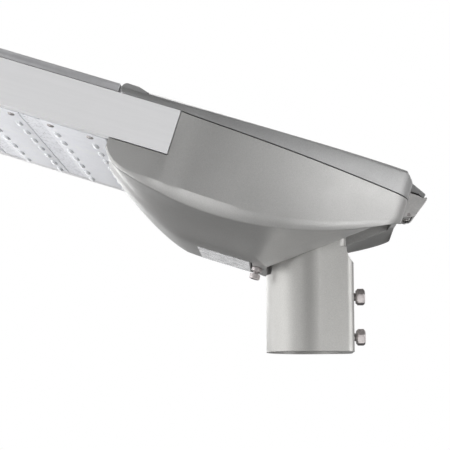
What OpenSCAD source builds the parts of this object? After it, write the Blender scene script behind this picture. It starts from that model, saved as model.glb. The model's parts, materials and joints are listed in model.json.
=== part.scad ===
// Street lamp head with a post-top spigot socket, tilting gear housing, LED panel and latched lid.
// Millimetres. Origin at the centre of the socket's mouth, +Z up the mast, -X towards the lamp's nose.

/* [Mast socket] */
// Bore that slips over the mast's spigot
spigot_bore_d = 62; // [60:0.5:64]
// Wall of the sleeve around the bore
sleeve_wall = 4.5; // [4:0.25:6]
// Depth of the bore, mouth to stop
bore_depth = 68; // [60:1:68]
// Rear face of the clamp block, from the bore's axis
block_reach = 41; // [40:0.5:44]
// Height of the lower clamp screw above the mouth
screw_low_z = 13.4; // [12:0.2:20]
// Height of the upper clamp screw above the mouth
screw_high_z = 49; // [40:0.5:56]

/* [Tilt] */
// Nose-up angle of the head in the drawn pose
head_tilt = 17.3; // [16:0.1:18]
// Diameter of the tilt pin
pivot_d = 8; // [6:0.5:9]

/* [Gear housing] */
// Half of the width across the shoulders
body_half_w = 150.7; // [148:0.1:153]
// Narrowing of each side per millimetre of length
side_taper = 0.25; // [0.24:0.002:0.28]
// Height of the lid seam above the socket's mouth, square to the panel
seam_n = 145.3; // [144:0.1:147]
// Lean of the band below the side wall, inwards per millimetre of its height
band_lean = 0.6; // [0.3:0.05:0.8]
// Wall thickness of the castings
wall = 3.2; // [2.6:0.1:4]

/* [Lid] */
// Height of the lid's crown on the centre line
crown_n = 172; // [170:0.5:174]
// Gap between the lid and the housing
lid_gap = 0.8; // [0.5:0.1:1.2]

/* [LED section] */
// Number of two-row LED modules
module_count = 5; // [2:1:6]
// Spacing of the lens rows along the lamp
row_pitch = 34; // [32:0.5:36]
// Spacing of the lenses across the lamp
lens_pitch = 35.3; // [34:0.1:35.5]
// Height of the side rails
rail_h = 36.4; // [34:0.2:38]

/* [Hidden] */
$fn = 48;

// Socket
bore_r = spigot_bore_d / 2;
sleeve_r = bore_r + sleeve_wall;
block_turn = 14;
block_corner_r = 8;
flank_sink = 0.25;
corner_steps = 10;
neck_x = 34.4;
neck_top = 130;
sleeve_top = 70.5;
cove_r = 18;
cove_z = 91;
shank_r = 4;
head_flats = 13;
head_turn = 16;

// Head frame: u runs to the rear along the panel, n is square to the panel, y is across
pivot_u = -47;
pivot_n = 71;
pivot_x = pivot_u * cos(head_tilt) + pivot_n * sin(head_tilt);
pivot_z = pivot_n * cos(head_tilt) - pivot_u * sin(head_tilt);
pivot_r = pivot_d / 2;
run_gap = 0.05;
hold_gap = 0.02;

// Housing outline
front_u = -203;
lip_u = -209;
rear_u = 44;
taper_u = -155;
curve_u = -115;
side_curve = 0.00115;
shoulder_turn = 0.15;
shoulder_len = 11;
rear_corner_r = 12;
floor_n = 57.9;
ramp_u = -128;
ramp_flare = 16;
vertex_u = -55;
rim_rise = 0.78;
floor_half_mid = 64;
rim_half = 40;
recess_half = 37;
recess_front_u = -54.8;
notch_u = -151.3;
notch_half = 136.8;
notch_n = 108.6;
crest_n = 76.1;
crest_u = -112;
crest_bow = 0.002;
bend_n = 87.4;
bend_u = -110;
bend_bow = 0.0018;
crown_bow = 0.000914;
ledge_n = seam_n - 1;
gasket_top_n = seam_n + 3.6;

// LED section
panel_n = 109.4;
rail_top_n = panel_n + rail_h;
led_rear_u = -204.4;
led_front_u = -548;
strip_top_n = 152.7;
first_row_u = -219.7;
lens_cols = 8;
nose_screw_y = 127.5;
nose_screw_n = 116;
nose_screw_r = 1.5;
nose_seat_u = -560.2;

// Lid hinge and latch
hinge_u = -198.5;
hinge_n = 150.6;
hinge_r = 2.2;
knuckle_r = 4.5;
latch_u = 50;
latch_n = 140.5;
latch_half = 22.5;
latch_pin_r = 1.5;

// ---- helpers ----
module on_head() { rotate([0, head_tilt, 0]) children(); }
// Extrude a (u, n) outline across the lamp
module across(y0, y1) { translate([0, y1, 0]) rotate([90, 0, 0]) linear_extrude(y1 - y0) children(); }
// Extrude a (y, n) outline along the lamp
module along(u0, u1) { translate([u0, 0, 0]) rotate([90, 0, 90]) linear_extrude(u1 - u0) children(); }
// Cylinder across the lamp
module yrod(r, y0, y1, u, n) { translate([u, y1, n]) rotate([90, 0, 0]) cylinder(r = r, h = y1 - y0); }
module both_sides() { children(); mirror([0, 1, 0]) children(); }
module box(lo, hi) { translate(lo) cube(hi - lo); }

function clamp01(t) = min(1, max(0, t));
function smooth(t) = let(c = clamp01(t)) c * c * (3 - 2 * c);

// Half width of the housing at the seam
function corner_cut(u) = let(d = max(0, u - (rear_u - rear_corner_r)))
  rear_corner_r - sqrt(max(0, rear_corner_r * rear_corner_r - d * d));
function half_w(u) = body_half_w - side_taper * max(0, u - taper_u) - side_curve * pow(max(0, u - curve_u), 2)
  - shoulder_turn * min(shoulder_len, max(0, u - notch_u)) - corner_cut(u);
// Lowest level of the underside on the centre line: nose ramp, flat floor, then the rim of the recess
function base_n(u) = floor_n + 0.087 * pow(max(0, ramp_u - u), 1.4) + rim_rise * max(0, u - vertex_u);
// Half width of the underside
function base_half(u) = u < ramp_u ? floor_half_mid + ramp_flare * pow((ramp_u - u) / (ramp_u - lip_u), 2)
  : rim_half + (floor_half_mid - rim_half) * (1 - pow(clamp01((u + 72) / 17), 2.2));
function base_edge_rise(u) = 3.4 * smooth((vertex_u - u) / 15);
// Band along the side: crest is its lower edge over the belly, bend its upper edge under the wall
function crest(u) = crest_n + crest_bow * pow(u - crest_u, 2) + 6 * pow(max(0, (-186 - u) / 12), 2);
function tip_rise(u) = 11 * pow(max(0, (-170 - u) / 30), 2);
function bend(u) = max(crest(u) + 2.5, bend_n + bend_bow * pow(max(0, u - bend_u), 2) + tip_rise(u));
function band_inset(u) = band_lean * (bend(u) - crest(u)) * (1 - 0.45 * smooth((u - 10) / 30));
// Bow of the band: its lean grows from the upper edge to the lower one, more so towards the rear
function band_bow(u) = 0.36 + 0.3 * smooth((u + 70) / 60);
function belly_dip(u) = 3.2 * smooth((u + 190) / 50) * smooth((10 - u) / 60);

// Lid surface
function lid_drop(u) = 0.95 * max(0, u - 36);
function lid_top(u, y) = crown_n - crown_bow * y * y - lid_drop(u);

// ---- lofts ----
stations = concat([lip_u, -206, front_u, -200, -196, -191, -185, -178, -169, -160],
  [notch_u, notch_u + 5, notch_u + shoulder_len], [for (u = [-132 : 9 : -78]) u],
  [-72, -67, -62, -58, vertex_u], [for (u = [-46 : 11 : 20]) u], [28, 33, 36.5, 39.2, 41.2, 42.7, rear_u]);

function mirror_ring(half) = concat(half, [for (i = [len(half) - 2 : -1 : 1]) [-half[i].x, half[i].y]]);
// Closed solid through rings of (y, n) points at stations us
module loft(us, rings) {
  k = len(rings[0]);
  m = len(us);
  pts = [for (i = [0 : m - 1]) for (p = rings[i]) [us[i], p.x, p.y]];
  sides = [for (i = [0 : m - 2]) for (j = [0 : k - 1]) let(a = i * k + j, b = i * k + (j + 1) % k)
    each [[a, b + k, b], [a, a + k, b + k]]];
  caps = [[for (j = [0 : k - 1]) j], [for (j = [k - 1 : -1 : 0]) (m - 1) * k + j]];
  polyhedron(pts, concat(sides, caps), convexity = 8);
}

function outer_half(u) = let(w = half_w(u), hb = base_half(u), nb = base_n(u), ne = nb + base_edge_rise(u),
    c = crest(u), b = bend(u), g = band_inset(u), k = band_bow(u), d = belly_dip(u), y1 = w - g - 1)
  concat([[0, nb], [hb * 0.64, nb], [hb * 0.84, nb + 0.35 * (ne - nb)], [hb, ne]],
    [for (t = [0.12, 0.3, 0.5, 0.72, 0.9]) [hb + (y1 - hb) * t, ne + (c - ne) * t + 4 * d * t * (1 - t)]],
    [[y1, c], [y1 + 0.75, c + 0.2]],
    [for (s = [0.94, 0.7, 0.45, 0.2, 0]) [w - g * ((1 - k) * s + k * s * s), b - s * (b - c)]],
    [[w, seam_n], [0, seam_n]]);
// Loft with its nose bowed forward under the end of the LED panel
module housing_loft() difference() {
  loft(stations, [for (u = stations) mirror_ring(outer_half(u))]);
  box([lip_u - 5, -170, 106.4], [front_u, 170, 160]);
  translate([0, 0, 50]) linear_extrude(notch_n - 50) polygon(concat(
    [for (y = [-160 : 10 : 160]) [lip_u + 9 * pow(y / body_half_w, 2), y]],
    [[lip_u - 9, 160], [lip_u - 9, -160]]));
}

cavity_us = concat([-199.6, -195, -189], [for (u = [-182 : 12 : -158]) u], [notch_u + 2.4, notch_u + 2.6],
  [for (u = [-140 : 12 : -80]) u], [-70, -62, -55], [for (u = [-44 : 12 : 28]) u], [34, 38, 40.5]);
function cavity_w(u) = u < notch_u + 2.5 ? notch_half - wall : half_w(u) - wall;
function cavity_half(u) = let(w = cavity_w(u), hb = min(base_half(u) - 1, w - 8), nb = base_n(u) + wall,
    ne = nb + base_edge_rise(u), n1 = max(crest(u) + 4.4, u < -186 ? ne : 0), d = belly_dip(u))
  concat([[0, nb], [hb * 0.62, nb], [hb, ne]],
    [for (t = [0.25, 0.5, 0.75]) [hb + (w - 6 - hb) * t, ne + (n1 - ne) * t + 4 * d * t * (1 - t)]],
    [[w - 6, n1], [w, n1 + 9], [w, seam_n + 9], [0, seam_n + 9]]);
module cavity_loft() { loft(cavity_us, [for (u = cavity_us) mirror_ring(cavity_half(u))]); }

// Plan outline of the housing at an inset
function plan_us(t) = concat([front_u + t], [for (u = [-180 : 12 : -156]) u], [notch_u + 2.4, notch_u + 2.6],
  [for (u = [-140 : 14 : 14]) u], [rear_u - t - 9, rear_u - t - 4, rear_u - t]);
function plan_w(u, t) = u < notch_u + 2.5 ? notch_half - t : half_w(u) - t;
function plan_side(t) = [for (u = plan_us(t)) [u, plan_w(u, t)]];
module plan_outline(t) {
  s = plan_side(t);
  polygon(concat(s, [for (i = [len(s) - 1 : -1 : 0]) [s[i].x, -s[i].y]]));
}

// Space under the housing that the socket's neck tilts in; grow adds the wall around it
module neck_recess(grow) {
  across(-recess_half - grow, recess_half + grow)
    polygon([[recess_front_u - grow, 40], [recess_front_u - grow, 86 + grow], [2, 130 + grow],
      [11, 136.5 + grow * 0.7], [38.5, 138.5 + grow * 0.7], [38.5, 120], [60, 120], [60, 40]]);
}

// ---- mast socket ----
// Plan of the block: from just inside the sleeve, flanks close in by block_turn up to the round rear corners
module block_plan(x) {
  cx = x - block_corner_r;
  cy = (sleeve_r - flank_sink - block_corner_r - cx * sin(block_turn)) / cos(block_turn);
  flank = concat([(sleeve_r - flank_sink) * [sin(block_turn), cos(block_turn)]],
    [for (i = [0 : corner_steps]) let(a = (90 - block_turn) * (1 - i / corner_steps))
      [cx + block_corner_r * cos(a), cy + block_corner_r * sin(a)]]);
  polygon(concat(flank, [for (i = [len(flank) - 1 : -1 : 0]) [flank[i].x, -flank[i].y]]));
}
module spigot_socket() color("silver") difference() {
  union() {
    cylinder(r = sleeve_r, h = sleeve_top, $fn = 96);
    // clamp block with a cove up to the neck
    difference() {
      linear_extrude(cove_z) block_plan(block_reach);
      translate([neck_x + cove_r, 0, cove_z]) rotate([90, 0, 0])
        cylinder(r = cove_r, h = 90, center = true, $fn = 96);
    }
    // neck with the trunnion that carries the tilt pin
    intersection() {
      union() {
        cylinder(r = sleeve_r, h = neck_top, $fn = 96);
        linear_extrude(neck_top) block_plan(neck_x);
      }
      across(-60, 60) polygon([[pivot_x - 7, 60], [pivot_x - 7, pivot_z + 2.2],
        [pivot_x - 3.2, pivot_z + 10.7], [neck_x, 116], [neck_x, 60]]);
    }
  }
  translate([0, 0, -1]) cylinder(r = bore_r, h = bore_depth + 1, $fn = 96);
  // relief for the housing's floor at the nose-up limit
  across(-60, 60) polygon([[-40, 68.1], [-31.3, 68.1], [-30.6, 71], [-40, 71]]);
  // cable way up through the neck
  translate([8, 0, bore_depth - 1]) cylinder(r = 13, h = 60);
  yrod(pivot_r + run_gap, -50, 50, pivot_x, pivot_z);
  for (z = [screw_low_z, screw_high_z]) translate([20, 0, z]) rotate([0, 90, 0])
    cylinder(r = shank_r + run_gap, h = 40);
}

// M8 hexagon screw, its head a little way off the block and its tip short of the bore
module clamp_screw(z) {
  tip_x = bore_r + 0.6;
  seat = block_reach + 2.6 - tip_x;
  translate([tip_x, 0, z]) rotate([0, 90, 0]) {
    cylinder(r1 = 2.6, r2 = shank_r, h = 1.4);
    translate([0, 0, 1.4]) cylinder(r = shank_r, h = seat - 1);
    translate([0, 0, seat]) cylinder(r1 = 5.6, r2 = 6.4, h = 1);
    translate([0, 0, seat + 1]) rotate([0, 0, head_turn]) cylinder(r = head_flats / sqrt(3), h = 7, $fn = 6);
  }
}
module clamp_screw_upper() color("lightgray") clamp_screw(screw_high_z);
module clamp_screw_lower() color("lightgray") clamp_screw(screw_low_z);

// ---- tilt ----
module tilt_pin() color("gray") on_head() yrod(pivot_r, -40.6, 40.6, pivot_u, pivot_n);
lock_tip_u = pivot_u - 8.2;
module tilt_lock_screw() color("dimgray") on_head() translate([lock_tip_u, 0, pivot_n]) rotate([0, -90, 0])
  difference() {
    union() {
      cylinder(r = shank_r, h = 20);
      translate([0, 0, 20]) cylinder(r = 6.4, h = 7);
    }
    translate([0, 0, 23]) cylinder(r = 3.5, h = 5, $fn = 6);
  }

// ---- gear housing ----
tray_n = 94;
posts = [[-172, 92], [-172, -92], [-72, 84], [-72, -84]];
grommet_u = -22;
grommet_n = 123;
terminal_u = -81;
earth_u = -63;
earth_y = -18;
// Cast shell with its ribs, bosses and gasket ledge, before drilling; resize keeps it one faceted skin
module housing_shell() resize([0, 0, 0]) union() {
  difference() {
    housing_loft();
    for (s = [-1, 1]) scale([1, s, 1]) box([front_u - 9, notch_half, notch_n], [notch_u, 170, 160]);
    difference() {
      cavity_loft();
      neck_recess(2.8);
      yrod(9, -45, 45, pivot_u, pivot_n);
      translate([-56, 0, pivot_n]) rotate([0, -90, 0]) cylinder(r = 8, h = 8);
      translate([earth_u, earth_y, 50]) cylinder(r = 6, h = 18);
      for (p = posts) translate([p.x, p.y, 50]) cylinder(r = 5.5, h = tray_n - 50);
      translate([grommet_u, 0, 90]) cylinder(r = 12, h = grommet_n - 90);
    }
    neck_recess(0);
    // drain slot across the floor
    box([-69.4, -40, 50], [-67.8, 40, 66]);
  }
  // ledge that carries the gasket
  translate([0, 0, ledge_n - 3]) linear_extrude(3) difference() {
    plan_outline(wall - 0.6);
    plan_outline(16);
  }
}
module gear_housing() color("silver") on_head() difference() {
  union() {
    housing_shell($fn = 24);
    // lugs for the lid hinge
    both_sides() {
      box([front_u + 0.5, 118, 136], [hinge_u + 3.8, 126, hinge_n]);
      yrod(3.8, 118, 126, hinge_u, hinge_n);
    }
    // lugs for the latch pin
    both_sides() {
      box([rear_u - 3, 12, latch_n - 3], [latch_u, 17, latch_n + 3]);
      yrod(3, 12, 17, latch_u, latch_n);
    }
  }
  yrod(pivot_r + hold_gap, -41, 41, pivot_u, pivot_n);
  translate([-50, 0, pivot_n]) rotate([0, -90, 0]) cylinder(r = shank_r + run_gap, h = 20);
  translate([earth_u, earth_y, 50]) cylinder(r = 2.52, h = 20);
  both_sides() yrod(hinge_r + hold_gap, 110, 130, hinge_u, hinge_n);
  yrod(latch_pin_r + hold_gap, -30, 30, latch_u, latch_n);
  for (p = posts) translate([p.x, p.y, tray_n - 12]) cylinder(r = 2.05, h = 20);
  // cable way through the roof of the recess
  translate([grommet_u, 0, 100]) cylinder(r = 8, h = 25);
  both_sides() for (u = rail_bolts) if (u > led_rear_u)
    yrod(rail_screw_r + run_gap, 131, 140, u, rail_screw_n);
  // window to the LED section
  translate([front_u - 2, 8.5, 122.5]) rotate([0, 90, 0]) cylinder(r = 8, h = 8);
}

// ---- underside fittings ----
module earth_bolt() color("lightgray") on_head() translate([earth_u, earth_y, 0]) {
  translate([0, 0, 51]) cylinder(r = 2.5, h = 22.5);
  translate([0, 0, 46.6]) cylinder(r = 4.6, h = 5, $fn = 6);
}
module earth_nuts() color("lightgray") on_head() translate([earth_u, earth_y, 0])
  for (z = [floor_n - 4.2, 68.3]) translate([0, 0, z]) difference() {
    cylinder(r = 4.6, h = 4.1, $fn = 6);
    translate([0, 0, -1]) cylinder(r = 2.52, h = 8);
  }
module rating_label() color("whitesmoke") on_head() box([-117, -40, floor_n - 0.4], [-70.4, 40, floor_n]);

// ---- lid ----
lid_n = seam_n + lid_gap;
lid_us = concat([front_u, -198, -190, -175, -163, notch_u, notch_u + shoulder_len],
  [for (u = [-124 : 14 : 2]) u], [12, 21, 28, 33, 36, 39, 42, rear_u]);
function lid_half(u, t) = let(w = half_w(u) - t)
  concat([[0, t > 0 ? 120 : lid_n], [w, t > 0 ? 120 : lid_n], [w, lid_top(u, w) - 2.6 - t * 0.6],
    [w - 0.7, lid_top(u, w) - 1 - t], [w - 2.4, lid_top(u, w - 2.4) - t]],
    [for (s = [0.82, 0.62, 0.42, 0.2, 0]) [s * w, lid_top(u, s * w) - t]]);
module lid_loft(us, t) { loft(us, [for (u = us) mirror_ring(lid_half(u, t))]); }
lid_inner_us = concat([front_u + 2.5], [for (i = [1 : len(lid_us) - 4]) lid_us[i]], [rear_u - 3]);
// Lid with its knuckles, rib and beak, before drilling; resize keeps it one faceted skin
module lid_shell() resize([0, 0, 0]) difference() {
  union() {
    difference() {
      lid_loft(lid_us, 0);
      lid_loft(lid_inner_us, 2.6);
    }
    // teardrop knuckles over the hinge pins
    both_sides() {
      yrod(knuckle_r, 127.5, 149.5, hinge_u, hinge_n);
      across(127.6, 149.4) polygon([[hinge_u, hinge_n + 4.4], [hinge_u + 9, hinge_n + 4.2],
        [hinge_u + 18, hinge_n + 1.6], [hinge_u + 8, hinge_n - 2], [hinge_u, hinge_n - 4.3]]);
    }
    // rib that closes on the gasket
    intersection() {
      lid_loft(lid_us, 1.2);
      translate([0, 0, gasket_top_n + 0.1]) linear_extrude(20) difference() {
        plan_outline(11.5);
        plan_outline(13.5);
      }
    }
    // beak that the latch closes against
    across(-20, 20) polygon([[rear_u - 1.5, 170], [58.8, 162.8], [59.4, 161.8], [59, 160.3], [57, 159.2],
      [53.4, 161.2], [rear_u - 1.5, 161.2]]);
  }
  // nose edge rounded about the hinge line
  across(-170, 170) difference() {
    translate([hinge_u - 12, hinge_n - 14]) square([12, 14]);
    translate([hinge_u, hinge_n]) circle(knuckle_r + 0.2);
  }
  both_sides() {
    across(127, 170) difference() {
      translate([hinge_u - 12, hinge_n - 1]) square([12, 20]);
      translate([hinge_u, hinge_n]) circle(5.6);
    }
    // clearance for the housing's hinge lugs
    box([front_u - 3, 117, 130], [hinge_u - 1.5, 127.3, hinge_n + 5]);
  }
}
module housing_lid() color("gray") on_head() difference() {
  lid_shell($fn = 32);
  both_sides() yrod(hinge_r + run_gap, 116, 148, hinge_u, hinge_n);
}
module lid_hinge_pins() color("dimgray") on_head() both_sides() yrod(hinge_r, 118.2, 147.6, hinge_u, hinge_n);
module lid_gasket() color("dimgray") on_head() translate([0, 0, ledge_n])
  linear_extrude(gasket_top_n - ledge_n) difference() {
    plan_outline(10.5);
    plan_outline(14.5);
  }

// ---- latch ----
module latch_lever() color("silver") on_head() difference() {
  across(-latch_half, latch_half) polygon([[45.8, 137.2], [45.8, 159.4], [53.3, 159.2], [57, 158.2],
    [60.9, 159.8], [61.6, 158.8], [61.4, 156.6], [56.3, 142.2], [54.6, 140.4]]);
  // hollow between the cheeks, open to the housing
  across(-latch_half + 2.4, latch_half - 2.4) polygon([[40, 130], [40, 170], [53.3, 170], [53.3, 157.4],
    [57, 155.6], [58.6, 155], [54.4, 143.2], [52.8, 141.6], [45.8, 139.2]]);
  // opening below for the spring and the housing's lugs
  box([40, -18, 130], [54.2, 18, 146]);
  yrod(latch_pin_r + run_gap, -30, 30, latch_u, latch_n);
}
module latch_pin() color("gray") on_head()
  yrod(latch_pin_r, -latch_half + 0.2, latch_half - 0.2, latch_u, latch_n);
// Torsion spring round the latch pin, as closed turns
module latch_spring() color("gray") on_head() {
  for (y = [-6 : 1.5 : 6]) translate([latch_u, y, latch_n]) rotate([90, 0, 0])
    rotate_extrude($fn = 32) translate([2.6, 0]) circle(0.75, $fn = 16);
}

// ---- LED section ----
// Screws that tie the rails to the housing and to the heatsink, from the inside
rail_bolts = [-164, -190, -280, -400, -520];
rail_screw_n = panel_n + 18;
rail_screw_r = 2.5;
boss_y = 137.4;
function rail_seat(u) = u > led_rear_u ? notch_half - wall : 134.4;
module rail_far() color("gainsboro") on_head() rail();
module rail_near() color("gainsboro") on_head() mirror([0, 1, 0]) rail();
module rail() difference() {
  union() {
    along(led_front_u, notch_u - 0.5) {
      translate([body_half_w - 2.5, panel_n]) square([2.5, rail_h]);
      translate([boss_y, panel_n]) square([body_half_w - boss_y - 1, 2.5]);
      translate([boss_y, rail_top_n - 2.5]) square([body_half_w - boss_y - 1, 2.5]);
    }
    for (u = rail_bolts) box([u - 6, boss_y, rail_screw_n - 6], [u + 6, body_half_w - 1, rail_screw_n + 6]);
  }
  for (u = rail_bolts) yrod(rail_screw_r + hold_gap, boss_y - 1, boss_y + 9.5, u, rail_screw_n);
}
module rail_screws() color("lightgray") on_head() both_sides() for (u = rail_bolts) {
  yrod(rail_screw_r, rail_seat(u) - 0.1, boss_y + 9, u, rail_screw_n);
  yrod(4.4, rail_seat(u) - 3.2, rail_seat(u), u, rail_screw_n);
}

function row_u(r) = first_row_u - row_pitch * r;
function lens_y(c) = (c - (lens_cols - 1) / 2) * lens_pitch;
row_count = 2 * module_count;
module led_heatsink() color("silver") on_head() difference() {
  along(led_front_u, led_rear_u) {
    translate([-137, 113.5]) square([274, 5]);
    for (y = [-119 : 17 : 119]) translate([y - 1.2, 118]) square([2.4, 27.5]);
    for (s = [-1, 1]) translate([s * 135.7 - 1.3, 113.5]) square([2.6, 35]);
    for (s = [-1, 1]) translate([s * 142.5 - 8, rail_top_n + 0.4])
      square([16, strip_top_n - rail_top_n - 0.4]);
  }
  // fins step down beside the lid
  box([-224, -134.3, 143], [led_rear_u + 1, 134.3, 160]);
  for (r = [0 : row_count - 1]) translate([row_u(r), lens_y(0), 112]) cylinder(r = 1.5, h = 10, $fn = 24);
  both_sides() {
    for (u = rail_bolts) if (u < led_rear_u) yrod(rail_screw_r + run_gap, 130, 140, u, rail_screw_n);
    translate([led_front_u - 1, nose_screw_y, nose_screw_n]) rotate([0, 90, 0])
      cylinder(r = nose_screw_r + hold_gap, h = 14);
  }
}
module led_boards() color("white") on_head() for (m = [0 : module_count - 1]) difference() {
  box([row_u(2 * m + 1) - 7, -131, 111.9], [row_u(2 * m) + 7, 131, 113.5]);
  for (r = [2 * m, 2 * m + 1]) translate([row_u(r), lens_y(0), 110]) cylinder(r = 1.6, h = 6, $fn = 24);
}
module led_chips() color("khaki") on_head() for (r = [0 : row_count - 1]) for (c = [1 : lens_cols - 1])
  translate([row_u(r) - 1.75, lens_y(c) - 1.75, 111.1]) cube([3.5, 3.5, 0.8]);
// Seven long lenses to a row; the near end of each row takes a screw
module lens_plate(m) difference() {
  union() {
    box([row_u(2 * m + 1) - 8, -133.5, 108.9], [row_u(2 * m) + (m == 0 ? 14.8 : 8), 133.5, 110.9]);
    for (r = [2 * m, 2 * m + 1]) for (c = [1 : lens_cols - 1]) translate([row_u(r), lens_y(c), 107.1]) {
      translate([-3, -5, 0]) cube([6, 10, 2]);
      for (s = [-5, 5]) translate([0, s, 0]) cylinder(r = 3, h = 2, $fn = 24);
    }
  }
  for (r = [2 * m, 2 * m + 1]) translate([row_u(r), lens_y(0), 104]) cylinder(r = 1.6, h = 8, $fn = 24);
}
module lens_plates() color("white") on_head() for (m = [0 : module_count - 1]) lens_plate(m);
module lens_screws() color("gray") on_head() for (r = [0 : row_count - 1])
  translate([row_u(r), lens_y(0), 0]) {
    translate([0, 0, 107.6]) cylinder(r = 3, h = 1.3, $fn = 24);
    translate([0, 0, 108.8]) cylinder(r = 1.4, h = 8, $fn = 24);
  }
module diffuser_strips() color("lightgray") on_head() for (m = [0 : module_count - 1])
  box([max(led_front_u, row_u(2 * m + 1) - row_pitch + 8.3), -133.5, 109.4],
    [row_u(2 * m + 1) - 8.3, 133.5, 112]);
module nose_profile(t) {
  hn = (strip_top_n - 106.8) / 2 - t;
  polygon([for (a = [90 : 7.5 : 270]) [led_front_u - 0.4 + (16 - t) * cos(a), 106.8 + hn + t + hn * sin(a)]]);
}
module nose_cap() color("silver") on_head() difference() {
  intersection() {
    across(-150.7, 150.7) nose_profile(0);
    translate([0, 0, 90]) linear_extrude(80) {
      translate([-570, -138.7]) square([40, 277.4]);
      translate([-552.4, -150.7]) square([20, 301.4]);
      for (s = [-1, 1]) translate([-552.4, s * 138.7]) circle(12);
    }
  }
  across(-146, 146) nose_profile(2.6);
  both_sides() translate([nose_seat_u, nose_screw_y, nose_screw_n]) rotate([0, 90, 0]) {
    translate([0, 0, -12]) cylinder(r = 4, h = 12);
    translate([0, 0, -1]) cylinder(r = nose_screw_r + 0.2, h = 20);
  }
}
module nose_screws() color("gray") on_head() both_sides()
  translate([nose_seat_u, nose_screw_y, nose_screw_n]) rotate([0, 90, 0]) {
    translate([0, 0, -2]) cylinder(r = 3.2, h = 2);
    translate([0, 0, -0.1]) cylinder(r = nose_screw_r, h = 24);
  }

// ---- gear inside the housing ----
module gear_tray() color("lightgray") on_head() difference() {
  union() {
    box([-180, -100, tray_n], [-64, 100, tray_n + 2]);
    box([-180, -100, tray_n], [-178, 100, tray_n + 10]);
  }
  for (p = posts) translate([p.x, p.y, 80]) cylinder(r = 2.1, h = 30);
}
module tray_screws() color("gray") on_head() for (p = posts) translate([p.x, p.y, 0]) {
  translate([0, 0, tray_n + 2]) cylinder(r = 3.8, h = 2.4);
  translate([0, 0, tray_n - 10]) cylinder(r = 2, h = 12.5);
}
module led_driver() color("white") on_head() {
  box([-164, -82, tray_n + 2], [-98, 66, tray_n + 34]);
  for (s = [-88, 66]) box([-158, s, tray_n + 2], [-104, s + 6, tray_n + 6]);
}
module surge_protector() color("firebrick") on_head() box([-92, 30, tray_n + 2], [-66, 72, tray_n + 24]);
module terminal_block() color("ivory") on_head() difference() {
  box([terminal_u - 11, -43, tray_n + 2], [terminal_u + 11, 19, tray_n + 20]);
  for (y = [-36 : 12 : -12]) translate([terminal_u, y, tray_n + 12]) cylinder(r = 2.6, h = 10);
  for (y = [-36 : 12 : 12]) translate([terminal_u + 5, y, tray_n + 8]) rotate([0, 90, 0])
    cylinder(r = 2.4, h = 10);
}
module cable_grommet() color("dimgray") on_head() translate([grommet_u, 0, 0]) difference() {
  union() {
    translate([0, 0, 104]) cylinder(r = 7.9, h = grommet_n - 103);
    translate([0, 0, grommet_n + hold_gap]) cylinder(r = 10.4, h = 3);
  }
  translate([0, 0, 100]) cylinder(r = 3.6, h = 30);
  across(-20, 20) translate([-grommet_u, 0]) polygon([[-60, 80], [-60, 83], [2, 131.5], [2, 80]]);
}
cable_r = 3;
bend_r = 8;
supply_n = 136;
// Quarter bend of cable in the (u, n) plane, centred on the bend
module elbow(u, n, turn) {
  translate([u, 0, n]) rotate([90, turn, 0]) rotate_extrude(angle = 90)
    translate([bend_r, 0]) circle(cable_r, $fn = 24);
}
// Supply cable: up through the grommet, forward over the roof and down to the terminals
module supply_cable() color("black") on_head() {
  top = supply_n - bend_r;
  translate([grommet_u, 0, 115]) cylinder(r = cable_r, h = top - 115, $fn = 24);
  elbow(grommet_u - bend_r, top, 0);
  translate([terminal_u + bend_r, 0, supply_n]) rotate([0, 90, 0])
    cylinder(r = cable_r, h = grommet_u - terminal_u - 2 * bend_r, $fn = 24);
  elbow(terminal_u + bend_r, top, -90);
  translate([terminal_u, 0, tray_n + 20.4]) cylinder(r = cable_r, h = top - tray_n - 20.4, $fn = 24);
}
module output_cable() color("black") on_head() translate([-215, 8.5, 122.5]) rotate([0, 90, 0])
  cylinder(r = cable_r, h = 50.6, $fn = 24);

spigot_socket();
clamp_screw_upper();
clamp_screw_lower();
tilt_pin();
tilt_lock_screw();
gear_housing();
earth_bolt();
earth_nuts();
rating_label();
housing_lid();
lid_hinge_pins();
lid_gasket();
latch_lever();
latch_pin();
latch_spring();
rail_near();
rail_far();
rail_screws();
led_heatsink();
led_boards();
led_chips();
lens_plates();
lens_screws();
diffuser_strips();
nose_cap();
nose_screws();
gear_tray();
tray_screws();
led_driver();
surge_protector();
terminal_block();
cable_grommet();
supply_cable();
output_cable();
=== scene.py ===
import json
import math
import bmesh
import bpy
from mathutils import Matrix, Vector


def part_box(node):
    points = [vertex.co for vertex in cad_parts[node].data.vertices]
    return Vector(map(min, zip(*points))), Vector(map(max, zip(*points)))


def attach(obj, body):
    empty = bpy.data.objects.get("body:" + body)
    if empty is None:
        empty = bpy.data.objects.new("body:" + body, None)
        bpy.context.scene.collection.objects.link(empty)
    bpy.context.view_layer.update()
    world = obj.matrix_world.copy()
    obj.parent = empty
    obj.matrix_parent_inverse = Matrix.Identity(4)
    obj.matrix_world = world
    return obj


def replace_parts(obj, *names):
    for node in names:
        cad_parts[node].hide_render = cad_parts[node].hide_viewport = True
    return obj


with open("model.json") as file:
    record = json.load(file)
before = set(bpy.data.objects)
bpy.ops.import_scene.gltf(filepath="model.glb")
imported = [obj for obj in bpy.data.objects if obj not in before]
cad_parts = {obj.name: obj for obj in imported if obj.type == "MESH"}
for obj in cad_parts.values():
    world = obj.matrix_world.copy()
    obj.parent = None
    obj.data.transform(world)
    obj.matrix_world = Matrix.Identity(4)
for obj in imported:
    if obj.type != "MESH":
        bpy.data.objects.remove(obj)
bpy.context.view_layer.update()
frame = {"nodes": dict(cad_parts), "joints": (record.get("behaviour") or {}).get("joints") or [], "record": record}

# ---- the frame's reference places ----
JOINTS = {j["name"]: j for j in frame["joints"]}
PIVOT = Vector(JOINTS["head_tilt"]["pos_m"])
TILT = math.radians(-JOINTS["head_tilt"]["range_deg"][0])      # the head's nose-up angle at rest
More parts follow.
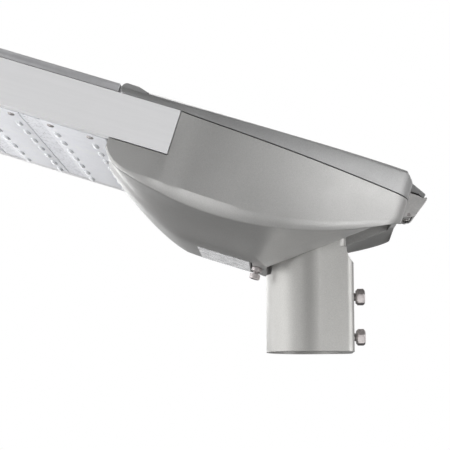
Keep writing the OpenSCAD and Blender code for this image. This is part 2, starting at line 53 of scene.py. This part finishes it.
# the head's own directions: rearwards along the panel, across, and square to the panel
ALONG = Vector((math.cos(TILT), 0, -math.sin(TILT)))
ACROSS = Vector((0, 1, 0))
SQUARE = Vector((math.sin(TILT), 0, math.cos(TILT)))
SLOT_OF = {s["node"]: s["material_slot"] for s in frame["record"]["subparts"]}
BODY_OF = {n: body for body, nodes in frame["record"]["behaviour"]["bodies"].items() for n in nodes}


def head_box(node):
    """Lowest and highest values of a node along ALONG, ACROSS and SQUARE, in metres."""
    points = [v.co for v in frame["nodes"][node].data.vertices]
    spans = [[p.dot(d) for p in points] for d in (ALONG, ACROSS, SQUARE)]
    return [min(s) for s in spans], [max(s) for s in spans]


# ---- material kit ----
class Nodes:
    """A short way to write node materials."""

    def __init__(self, name):
        self.mat = bpy.data.materials.new(name)
        self.mat.use_nodes = True
        self.tree = self.mat.node_tree
        self.bsdf = self.tree.nodes["Principled BSDF"]

    def node(self, kind, **settings):
        made = self.tree.nodes.new(kind)
        for key, value in settings.items():
            if key in made.inputs:
                self.put(made.inputs[key], value)
            else:
                setattr(made, key, value)
        return made

    def put(self, socket, value):
        if isinstance(value, bpy.types.NodeSocket):
            self.tree.links.new(value, socket)
        else:
            socket.default_value = value

    def place(self, stretch=(1, 1, 1)):
        """Position in metres, stretched to draw marks out along an axis of the head."""
        turned = self.node("ShaderNodeMapping", Rotation=(0, -TILT, 0))
        self.put(turned.inputs["Vector"], self.node("ShaderNodeTexCoord").outputs["Object"])
        made = self.node("ShaderNodeMapping", Scale=stretch)
        self.put(made.inputs["Vector"], turned.outputs["Vector"])
        return made.outputs["Vector"]

    def noise(self, scale, detail=3.0, rough=0.55, stretch=(1, 1, 1)):
        made = self.node("ShaderNodeTexNoise", Scale=scale, Detail=detail, Roughness=rough)
        self.put(made.inputs["Vector"], self.place(stretch))
        return made.outputs["Fac"]

    def remap(self, value, low, high, start=0.3, end=0.7):
        made = self.node("ShaderNodeMapRange")
        self.put(made.inputs["Value"], value)
        for key, number in (("From Min", start), ("From Max", end), ("To Min", low), ("To Max", high)):
            made.inputs[key].default_value = number
        return made.outputs["Result"]

    def math(self, operation, one, two):
        made = self.node("ShaderNodeMath", operation=operation)
        self.put(made.inputs[0], one)
        self.put(made.inputs[1], two)
        return made.outputs["Value"]

    def tint(self, colour, *factors):
        """The colour scaled by every factor in turn."""
        scale = factors[0]
        for factor in factors[1:]:
            scale = self.math("MULTIPLY", scale, factor)
        made = self.node("ShaderNodeVectorMath", operation="SCALE")
        made.inputs[0].default_value = colour
        self.put(made.inputs["Scale"], scale)
        return made.outputs["Vector"]

    def edge(self, radius):
        """The normal with every hard edge rounded by radius, in metres."""
        return self.node("ShaderNodeBevel", samples=4, Radius=radius).outputs["Normal"]

    def painted_shade(self, depth, distance=0.012):
        """A factor below 1 in corners and seams: painted shade, darker wherever ambient occlusion finds the space
        closed in.
        """
        made = self.node("ShaderNodeAmbientOcclusion", samples=4, Distance=distance)
        return self.remap(made.outputs["AO"], 1 - depth, 1.0, 0.25, 0.85)

    def bump(self, height, strength, distance, normal):
        made = self.node("ShaderNodeBump", Strength=strength, Distance=distance)
        self.put(made.inputs["Height"], height)
        self.put(made.inputs["Normal"], normal)
        return made.outputs["Normal"]

    def set(self, **inputs):
        for key, value in inputs.items():
            self.put(self.bsdf.inputs[key.replace("_", " ")], value)
        return self


def cast_paint(name, colour, metallic, roughness):
    """Satin metallic powder coat over a casting: cloudy tone, flakes, a faint orange peel and soft edges."""
    peel, edge = 0.5, 0.0009
    m = Nodes(name)
    cloud = m.remap(m.noise(14.0), 0.97, 1.03)
    flake = m.remap(m.noise(1500.0, detail=1.0), 0.92, 1.08)
    grain = m.bump(m.noise(2200.0, detail=2.0), peel, 0.00003, m.edge(edge))
    skin = m.bump(m.noise(260.0, detail=2.0), peel, 0.00008, grain)
    # the base colour's last factor is painted shade in corners and seams
    return m.set(Base_Color=m.tint(colour, cloud, flake, m.painted_shade(0.16)), Metallic=metallic, Normal=skin,
                 Roughness=m.remap(m.noise(90.0), roughness - 0.04, roughness + 0.05)).mat


def sheet_paint(name, colour, roughness):
    """Smooth paint over an extrusion, with faint draw lines along it."""
    m = Nodes(name)
    lines = m.noise(420.0, detail=2.0, stretch=(0.02, 1, 1))
    cloud = m.remap(m.noise(10.0), 0.98, 1.02)
    fine = m.bump(lines, 0.3, 0.00004, m.edge(0.0005))
    # the tone's last factor is painted shade in corners and seams
    tone = m.tint(colour, cloud, m.remap(lines, 0.985, 1.015), m.painted_shade(0.1))
    return m.set(Base_Color=tone, Metallic=0.0,
                 Roughness=m.remap(m.noise(70.0), roughness - 0.04, roughness + 0.06), Normal=fine).mat


def metal(name, colour, roughness, stretch=(1, 1, 1), scale=700.0, edge=0.0003, marks=0.09, metallic=1.0):
    """Bare or dulled metal with fine marks drawn out along one direction, faint random stains, and painted shade
    in its corners.
    """
    m = Nodes(name)
    lines = m.noise(scale, detail=4.0, stretch=stretch)
    stain = m.remap(m.noise(120.0), 0.93, 1.04)
    # the tone's last factor is painted shade in corners and seams
    tone = m.tint(colour, m.remap(lines, 1 - marks, 1 + marks), stain, m.painted_shade(0.4, 0.004))
    return m.set(Base_Color=tone,
                 Metallic=metallic, Roughness=m.remap(lines, roughness - 0.06, roughness + 0.09),
                 Normal=m.bump(lines, 0.3, 0.00005, m.edge(edge))).mat


def plastic(name, colour, roughness, scale=600.0, spread=0.04, depth=0.00006, edge=0.0004):
    """Moulded plastic or rubber: a fine matt texture with a slow drift of tone."""
    m = Nodes(name)
    grain = m.noise(scale)
    drift = m.remap(m.noise(30.0), 0.97, 1.03)
    # the tone's last factor is painted shade in corners and seams
    tone = m.tint(colour, m.remap(grain, 1 - spread, 1 + spread), drift, m.painted_shade(0.2, 0.006))
    return m.set(Base_Color=tone,
                 Roughness=m.remap(m.noise(60.0), roughness - 0.05, roughness + 0.08),
                 Normal=m.bump(grain, 0.4, depth, m.edge(edge))).mat


def clear_lens(name):
    """Milky acrylic over the white board, with painted shade round its foot."""
    m = Nodes(name)
    tone = m.remap(m.noise(160.0), 0.97, 1.02)
    # the base colour carries strong painted shade where the dome meets the plate
    return m.set(Base_Color=m.tint((0.95, 0.97, 1.0), tone, m.painted_shade(0.5, 0.002)), IOR=1.49,
                 Roughness=m.remap(m.noise(300.0), 0.10, 0.20), Transmission_Weight=0.15,
                 Normal=m.bump(m.noise(500.0), 0.2, 0.00002, m.edge(0.0003))).mat


def speckled(name, colour):
    """Pale moulding with fine dark specks that stand up from it."""
    m = Nodes(name)
    specks = m.noise(380.0, detail=2.0, rough=0.7)
    dots = m.remap(specks, 0.60, 1.0, 0.38, 0.45)
    return m.set(Base_Color=m.tint(colour, dots), Roughness=m.remap(m.noise(80.0), 0.35, 0.5),
                 Normal=m.bump(specks, 0.6, 0.0003, m.edge(0.0003))).mat


MATERIALS = {
    "socket_casting": cast_paint("socket_casting", (0.47, 0.465, 0.45), metallic=0.5, roughness=0.40),
    "housing_casting": cast_paint("housing_casting", (0.425, 0.422, 0.415), metallic=0.5, roughness=0.40),
    "lid_casting": cast_paint("lid_casting", (0.36, 0.36, 0.36), metallic=0.45, roughness=0.42),
    "rail_paint": sheet_paint("rail_paint", (0.80, 0.80, 0.81), roughness=0.45),
    "heatsink_aluminium": metal("heatsink_aluminium", (0.80, 0.80, 0.82), 0.36, stretch=(0.02, 1, 1),
                                scale=500.0),
    "steel_fasteners": metal("steel_fasteners", (0.60, 0.56, 0.555), 0.38, edge=0.0003, metallic=0.85),
    "latch_steel": metal("latch_steel", (0.66, 0.65, 0.64), 0.42, stretch=(1, 0.06, 1), edge=0.0006,
                         metallic=0.55),
    "spring_steel": metal("spring_steel", (0.50, 0.49, 0.47), 0.25),
    "tray_steel": metal("tray_steel", (0.60, 0.62, 0.63), 0.42, scale=45.0, marks=0.14, edge=0.0005),
    "blank_label": metal("blank_label", (0.95, 0.95, 0.97), 0.24, scale=200.0, marks=0.015, metallic=0.75),
    "gasket_rubber": plastic("gasket_rubber", (0.03, 0.03, 0.03), 0.7),
    "board_white": plastic("board_white", (0.80, 0.81, 0.79), 0.35, spread=0.02),
    "led_phosphor": plastic("led_phosphor", (0.80, 0.60, 0.10), 0.2, spread=0.03),
    "lens_plastic": plastic("lens_plastic", (0.95, 0.96, 1.0), 0.50, scale=260.0, spread=0.03, depth=0.00004),
    "strip_plastic": speckled("strip_plastic", (0.92, 0.93, 0.98)),
    "driver_case": plastic("driver_case", (0.76, 0.76, 0.74), 0.45, edge=0.0012),
    "surge_case": plastic("surge_case", (0.42, 0.06, 0.05), 0.45, edge=0.0008),
    "terminal_plastic": plastic("terminal_plastic", (0.74, 0.70, 0.58), 0.45, edge=0.0006),
    "cable_sheath": plastic("cable_sheath", (0.02, 0.02, 0.02), 0.5),
}
CLEAR = clear_lens("lens_clear")


# ---- shading of the carried-over castings ----
def angle_group(name, degrees):
    """Geometry nodes that shade smooth, apart from edges sharper than the angle."""
    group = bpy.data.node_groups.new(name, "GeometryNodeTree")
    group.interface.new_socket("Geometry", in_out="INPUT", socket_type="NodeSocketGeometry")
    group.interface.new_socket("Geometry", in_out="OUTPUT", socket_type="NodeSocketGeometry")
    add, link = group.nodes.new, group.links.new
    start, end = add("NodeGroupInput"), add("NodeGroupOutput")
    faces, edges = add("GeometryNodeSetShadeSmooth"), add("GeometryNodeSetShadeSmooth")
    edges.domain = "EDGE"
    edges.inputs["Shade Smooth"].default_value = False
    angle, above = add("GeometryNodeInputMeshEdgeAngle"), add("ShaderNodeMath")
    above.operation = "GREATER_THAN"
    above.inputs[1].default_value = math.radians(degrees)
    link(start.outputs[0], faces.inputs["Geometry"])
    link(faces.outputs["Geometry"], edges.inputs["Geometry"])
    link(angle.outputs["Unsigned Angle"], above.inputs[0])
    link(above.outputs["Value"], edges.inputs["Selection"])
    link(edges.outputs["Geometry"], end.inputs[0])
    return group


SMOOTH = {30: angle_group("smooth_30", 30), 22: angle_group("smooth_22", 22)}
CRISP_NODES = ("gear_housing",)
WELD_DISTANCE = 2e-6


def finish_cad_nodes():
    """Material and smooth shading on every carried-over node."""
    for name, obj in frame["nodes"].items():
        obj.data.materials.clear()
        obj.data.materials.append(MATERIALS[SLOT_OF[name]])
        obj.modifiers.new("weld", "WELD").merge_threshold = WELD_DISTANCE
        obj.modifiers.new("smooth", "NODES").node_group = SMOOTH[22 if name in CRISP_NODES else 30]


# ---- new pieces ----
def riding(name, bm, node, material):
    """Turn a bmesh into an object that rides with a CAD node's body."""
    bmesh.ops.recalc_face_normals(bm, faces=bm.faces)
    mesh = bpy.data.meshes.new(name)
    bm.to_mesh(mesh)
    bm.free()
    obj = bpy.data.objects.new(name, mesh)
    bpy.context.scene.collection.objects.link(obj)
    mesh.materials.append(material)
    obj.modifiers.new("smooth", "NODES").node_group = SMOOTH[30]
    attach(obj, BODY_OF[node])
    return obj


def piece(name, bm, node):
    """Turn a bmesh into a piece that stands for a CAD node."""
    bmesh.ops.remove_doubles(bm, verts=bm.verts, dist=1e-7)
    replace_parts(riding(name, bm, node, MATERIALS[SLOT_OF[node]]), node)


def band(bm, low, high):
    """Quads between two loops of points."""
    for i in range(len(low)):
        j = (i + 1) % len(low)
        bm.faces.new((low[i], low[j], high[j], high[i]))


def spun(bm, start, direction, rings, side, segments=48, closed=False):
    """A turned solid: rings are (distance, radius or a function of the angle); closed makes a ring of it."""
    other = direction.cross(side)
    loops = []
    for distance, radius in rings:
        loop = []
        for i in range(segments):
            a = 2 * math.pi * i / segments
            r = radius(a) if callable(radius) else radius
            outward = side * math.cos(a) + other * math.sin(a)
            loop.append(bm.verts.new(start + direction * distance + outward * r))
        loops.append(loop)
    for low, high in zip(loops, loops[1:]):
        band(bm, low, high)
    if closed:
        band(bm, loops[-1], loops[0])
    else:
        bm.faces.new(list(reversed(loops[0])))
        bm.faces.new(loops[-1])


def hexagon(flat, limit):
    """Radius of a hexagon with the given half width across flats, cut by a chamfer circle."""
    step = math.pi / 3

    def radius(angle):
        corner = flat / math.cos(angle % step - step / 2)
        return min(corner, limit)
    return radius


def thread(start, end, radius, pitch, depth=0.6):
    """Rings of a helical thread between two distances."""
    steps = max(2, round((end - start) / pitch * 6))

    def crest(distance):
        def radius_at(angle):
            phase = (distance / pitch - angle / (2 * math.pi)) % 1
            return radius - depth * pitch * (1 - abs(2 * phase - 1))
        return radius_at
    places = [start + (end - start) * i / steps for i in range(steps + 1)]
    return [(place, crest(place)) for place in places]


def clamp_screw(node):
    """Hexagon-headed M8 screw along +X, its head at the far end of the CAD node's box."""
    head_len, flat, shank, pitch = 0.008, 0.0065, 0.004, 0.00125
    point, roll = 0.0012, math.radians(14)
    lo, hi = (Vector(c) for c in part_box(node))
    start = Vector((lo.x, 0, (lo.z + hi.z) / 2))
    length = hi.x - lo.x
    seat = length - head_len
    chamfer = flat * 1.04
    corner = flat / math.cos(math.pi / 6)
    rings = [(0, shank * 0.62), (point, shank * 0.92)]
    rings += thread(point, seat - 0.0010, shank, pitch)
    rings += [(seat - 0.0008, shank * 0.86), (seat, shank * 0.86)]
    rings += [(seat, flat * 0.90), (seat + 0.0006, flat * 0.93)]
    for step, limit in ((0.0007, 0.97 * flat), (0.0011, chamfer), (0.0016, corner)):
        rings.append((seat + step, hexagon(flat, limit)))
    for step, limit in ((0.0014, corner), (0.0007, chamfer), (0.0002, 0.96 * flat)):
        rings.append((length - step, hexagon(flat, limit)))
    rings += [(length, flat * 0.90), (length, flat * 0.55)]
    rings += [(length - 0.0003, flat * 0.5), (length - 0.0003, flat * 0.05)]
    bm = bmesh.new()
    side = Vector((0, -math.cos(roll), math.sin(roll)))
    spun(bm, start, Vector((1, 0, 0)), rings, side)
    piece(node + "_visual", bm, node)


def head_point(u, y, n):
    """The point with these values along ALONG, ACROSS and SQUARE."""
    return ALONG * u + ACROSS * y + SQUARE * n


def earth_fittings():
    """Bolt under the housing's floor with its two nuts."""
    lo, hi = head_box("earth_bolt")
    u, y = (lo[0] + hi[0]) / 2, (lo[1] + hi[1]) / 2
    flat = (hi[1] - lo[1]) / 2
    corner, chamfer = flat / math.cos(math.pi / 6), flat * 1.05
    head_len, shank = 0.005, 0.0025
    top = hi[2] - lo[2]
    rings = [(0, flat * 0.5), (0.0002, flat * 0.9),
             (0.0005, hexagon(flat, chamfer)), (0.0010, hexagon(flat, corner)),
             (head_len - 0.0006, hexagon(flat, corner)), (head_len - 0.0001, hexagon(flat, chamfer)),
             (head_len, flat * 0.92), (head_len, shank * 0.86), (head_len + 0.0004, shank * 0.86)]
    rings += thread(head_len + 0.0005, top - 0.0006, shank, 0.0008)
    rings += [(top, shank * 0.75)]
    bm = bmesh.new()
    spun(bm, head_point(u, y, lo[2]), SQUARE, rings, ALONG)
    piece("earth_bolt_visual", bm, "earth_bolt")
    bm = bmesh.new()
    nut_lo, nut_hi = head_box("earth_nuts")
    nut_len = 0.0041
    for base in (nut_lo[2], nut_hi[2] - nut_len):
        nut = [(0, flat * 0.9), (0.0003, hexagon(flat, chamfer)), (0.0007, hexagon(flat, corner)),
               (nut_len - 0.0007, hexagon(flat, corner)), (nut_len - 0.0003, hexagon(flat, chamfer)),
               (nut_len, flat * 0.9), (nut_len, shank * 1.06), (0, shank * 1.06)]
        spun(bm, head_point(u, y, base), SQUARE, nut, ALONG, closed=True)
    piece("earth_nuts_visual", bm, "earth_nuts")


# LED module: chip side, rows, columns, plate thickness and rim, half sizes of a lens
CHIP, LED_ROWS, LED_COLUMNS = 0.0035, 10, 7
PLATE, MODULE_RIM = 0.002, 0.008
LENS_LONG, LENS_WIDE = 0.0082, 0.0032


def chip_grid():
    """The LEDs' places: rows along the panel, columns across it."""
    lo, hi = head_box("led_chips")
    half = CHIP / 2
    rows = [lo[0] + half + (hi[0] - lo[0] - CHIP) * i / (LED_ROWS - 1) for i in range(LED_ROWS)]
    columns = [lo[1] + half + (hi[1] - lo[1] - CHIP) * i / (LED_COLUMNS - 1) for i in range(LED_COLUMNS)]
    return rows, columns


def lens_domes():
    """A long lens over each LED, its dome sagging in the middle so that it throws light to both sides."""
    rows, columns = chip_grid()
    lo, hi = head_box("lens_plates")
    seat = hi[2] - PLATE
    height = seat - lo[2]
    around, steps = 28, 6
    bm = bmesh.new()
    for u in rows:
        for y in columns:
            loops = []
            for k in range(steps):
                t = math.cos(k / steps * math.pi / 2)
                rise = math.sin(k / steps * math.pi / 2)
                loop = []
                for i in range(around):
                    a = 2 * math.pi * i / around
                    across = LENS_LONG * math.sin(a) * t
                    waist = 1 - 0.18 * math.cos(min(1, abs(across) / LENS_LONG) * math.pi / 2) ** 2
                    along = LENS_WIDE * math.copysign(abs(math.cos(a)) ** 0.8, math.cos(a)) * t * waist
                    dip = 0.12 * math.cos(min(1, abs(across) / LENS_LONG * 2) * math.pi / 2) ** 2
                    depth = seat - height * rise * (1 - dip)
                    loop.append(bm.verts.new(head_point(u + along, y + across, depth)))
                loops.append(loop)
            for low, high in zip(loops, loops[1:]):
                band(bm, low, high)
            bm.faces.new(loops[-1])
            bm.faces.new(list(reversed(loops[0])))
    riding("lens_domes", bm, "lens_plates", CLEAR)


def slab(bm, lo, hi, edge):
    """A bevelled box between two corners given in the head's directions."""
    made = bmesh.ops.create_cube(bm, size=1.0)["verts"]
    for v in made:
        mix = [a + (b - a) * (c + 0.5) for a, b, c in zip(lo, hi, v.co)]
        v.co = head_point(*mix)
    edges = list({e for v in made for e in v.link_edges})
    bmesh.ops.bevel(bm, geom=edges, offset=edge, segments=3, profile=0.5, affect="EDGES")


def lens_plates():
    """One plate for each two rows of LEDs; the last reaches to the panel's rear end."""
    rows = chip_grid()[0]
    lo, hi = head_box("lens_plates")
    bm = bmesh.new()
    for first in range(0, LED_ROWS, 2):
        rear = hi[0] if first == LED_ROWS - 2 else rows[first + 1] + MODULE_RIM
        slab(bm, (rows[first] - MODULE_RIM, lo[1], hi[2] - PLATE), (rear, hi[1], hi[2]), 0.0006)
    piece("lens_plates_visual", bm, "lens_plates")


def lens_screws():
    """Pan-head screws with a cross recess at the near end of each lens row."""
    rows = chip_grid()[0]
    lo, hi = head_box("lens_screws")
    y = (lo[1] + hi[1]) / 2
    head, shank, rise = (hi[1] - lo[1]) / 2, 0.0014, 0.0013
    cross = math.pi / 2

    def recess(outer, slot):
        def radius(angle):
            off = (angle + cross / 2) % cross - cross / 2
            return min(outer, slot / max(0.2, abs(math.sin(off))))
        return radius
    bm = bmesh.new()
    for u in rows:
        rings = [(0.0009, 0.0001), (0.0009, recess(0.0013, 0.00035)), (0.00012, recess(0.0017, 0.0005)),
                 (0, head * 0.66), (0.00025, head * 0.86), (0.0007, head), (rise, head), (rise, shank)]
        rings += thread(rise + 0.0001, hi[2] - lo[2] - 0.0008, shank, 0.0007)
        rings += [(hi[2] - lo[2], shank * 0.5)]
        spun(bm, head_point(u, y, lo[2]), SQUARE, rings, ALONG, segments=32)
    piece("lens_screws_visual", bm, "lens_screws")


clamp_screw("clamp_screw_upper")
clamp_screw("clamp_screw_lower")
earth_fittings()
lens_plates()
lens_domes()
lens_screws()
finish_cad_nodes()

# ---- studio ----
FLOOR_Z = -3.0


def make_floor():
    """A plain pale floor, far below the lamp."""
    mesh = bpy.data.meshes.new("floor")
    half = 30.0
    corners = [(-half, -half, FLOOR_Z), (half, -half, FLOOR_Z), (half, half, FLOOR_Z), (-half, half, FLOOR_Z)]
    mesh.from_pydata(corners, [], [(0, 1, 2, 3)])
    floor = bpy.data.objects.new("floor", mesh)
    bpy.context.scene.collection.objects.link(floor)
    m = Nodes("floor_white")
    tone = m.remap(m.noise(0.5), 0.98, 1.0)
    pale = m.tint((0.92, 0.92, 0.92), tone)
    m.set(Base_Color=pale, Roughness=m.remap(m.noise(3.0), 0.75, 0.85),
          Emission_Color=pale, Emission_Strength=0.95)
    mesh.materials.append(m.mat)
    # the floor is seen, but throws no light back up at the lamp
    floor.visible_diffuse = floor.visible_glossy = False


def softbox(name, azimuth, elevation, power, side=0.6, distance=1.2):
    """A square panel facing the lamp; azimuth 0 is the camera's side and 90 the lamp's rear."""
    a, e = math.radians(azimuth), math.radians(elevation)
    away = Vector((math.sin(a) * math.cos(e), -math.cos(a) * math.cos(e), math.sin(e)))
    data = bpy.data.lights.new(name, "AREA")
    data.shape, data.size, data.energy = "SQUARE", side, power
    light = bpy.data.objects.new(name, data)
    light.location = PIVOT + Vector((-0.03, 0, 0.02)) + away * distance
    light.rotation_euler = (-away).to_track_quat("-Z", "Y").to_euler()
    light.visible_camera = False
    bpy.context.scene.collection.objects.link(light)


# name, azimuth, elevation, power and side: the strongest high on the nose side, weak ones round the rest
SOFTBOXES = (
    ("nose_high", -80, 40, 12, 1.4),
    ("nose_level", -80, 0, 3.6, 0.9),
    ("nose_low", -70, -35, 5.5),
    ("nose_rear", -115, 0, 2),
    ("front_nose", -50, 0, 1.7),
    ("front", -20, 0, 1.2),
    ("front_low", 0, -40, 3.0),
    ("front_rear", 35, 0, 0.9),
    ("rear_level", 60, 0, 3.3),
    ("rear_side", 85, 0, 2.2),
    ("rear_low", 70, -35, 3.7),
    ("rear_high", 60, 40, 1.5),
    ("back_high", 160, 45, 7, 1.2),
    ("back_nose", -150, 15, 3),
)


def make_world():
    """White to the camera; for the rest a bright backdrop that ends near the horizon, and a dim room."""
    world = bpy.data.worlds.new("studio")
    bpy.context.scene.world = world
    world.use_nodes = True
    nodes, link = world.node_tree.nodes, world.node_tree.links.new
    split = nodes.new("ShaderNodeSeparateXYZ")
    link(nodes.new("ShaderNodeTexCoord").outputs["Generated"], split.inputs["Vector"])
    glow = None
    for axis, low, high in (("Y", 0.6, 0.9), ("Z", -0.20, -0.12)):
        step = nodes.new("ShaderNodeMapRange")
        step.inputs["From Min"].default_value, step.inputs["From Max"].default_value = low, high
        link(split.outputs[axis], step.inputs["Value"])
        if glow:
            both = nodes.new("ShaderNodeMath")
            both.operation = "MULTIPLY"
            link(glow, both.inputs[0])
            link(step.outputs["Result"], both.inputs[1])
            glow = both.outputs["Value"]
        else:
            glow = step.outputs["Result"]
    room = nodes.new("ShaderNodeMapRange")
    room.inputs["To Min"].default_value, room.inputs["To Max"].default_value = 0.05, 0.9
    link(glow, room.inputs["Value"])
    pick = nodes.new("ShaderNodeMix")
    link(nodes.new("ShaderNodeLightPath").outputs["Is Camera Ray"], pick.inputs["Factor"])
    link(room.outputs["Result"], pick.inputs["A"])
    pick.inputs["B"].default_value = 1.0
    nodes["Background"].inputs["Color"].default_value = (1, 1, 1, 1)
    link(pick.outputs["Result"], nodes["Background"].inputs["Strength"])


def make_studio():
    make_world()
    for box in SOFTBOXES:
        softbox(*box)
    bpy.context.scene.view_settings.view_transform = "Standard"


def make_camera():
    """Just below the head, square to its side, with a long lens."""
    yaw, pitch, distance = math.radians(2.13), math.radians(8.08), 1.166
    aim = PIVOT + Vector((-0.0485, 0, 0.0324))
    right = Vector((math.cos(yaw), math.sin(yaw), 0))
    level = Vector((-math.sin(yaw), math.cos(yaw), 0))
    ahead = level * math.cos(pitch) + Vector((0, 0, math.sin(pitch)))
    up = right.cross(ahead)
    data = bpy.data.cameras.new("camera")
    data.lens, data.sensor_width = 104.0, 36.0
    data.clip_start, data.clip_end = 0.01, 100.0
    camera = bpy.data.objects.new("camera", data)
    bpy.context.scene.collection.objects.link(camera)
    turn = Matrix((right, up, -ahead)).transposed().to_4x4()
    camera.matrix_world = Matrix.Translation(aim - ahead * distance) @ turn
    bpy.context.scene.camera = camera


make_floor()
make_studio()
make_camera()
